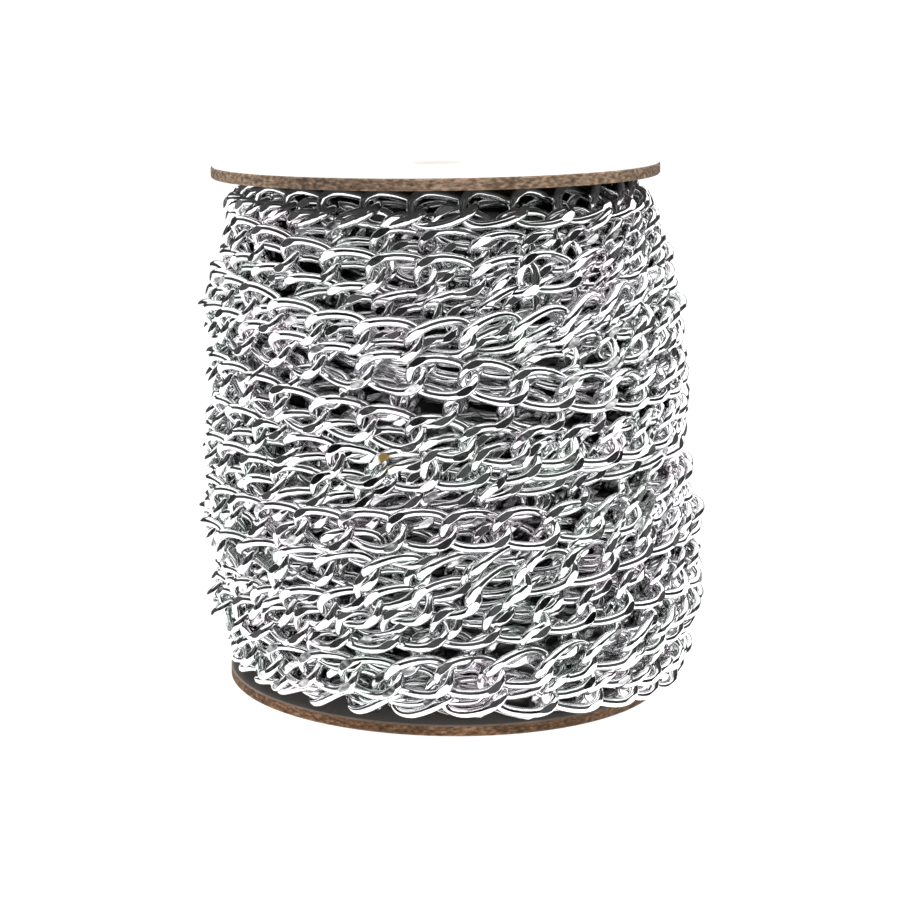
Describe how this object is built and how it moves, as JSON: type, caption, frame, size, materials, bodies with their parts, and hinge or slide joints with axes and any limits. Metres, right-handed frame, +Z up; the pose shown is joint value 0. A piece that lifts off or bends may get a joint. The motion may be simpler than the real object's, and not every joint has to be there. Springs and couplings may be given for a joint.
{
  "type": "spool of curb chain",
  "caption": "Bright curb purse chain wound in layers on a paper core tube between two round fibreboard flanges with an arbor hole, standing on one flange",
  "frame": {"origin": "the middle of the whole spool's footprint, on the floor that it stands on", "axes": "+Z up out of the lower flange, +X to the right and -Y towards the viewer of the pictured front"},
  "size_m": [0.148, 0.1462, 0.1506],
  "materials": {
    "fibreboard": "raw pressed-fibre edge, dark smooth inner face, white outer face",
    "kraft_paper": "plain spiral-wound paper tube",
    "chain_metal": "bright polished plating"
  },
  "bodies": {
    "root": {"flange_bottom": "fibreboard", "flange_top": "fibreboard", "core_tube": "kraft_paper", "wound_chain": "chain_metal"}
  },
  "joints": []
}
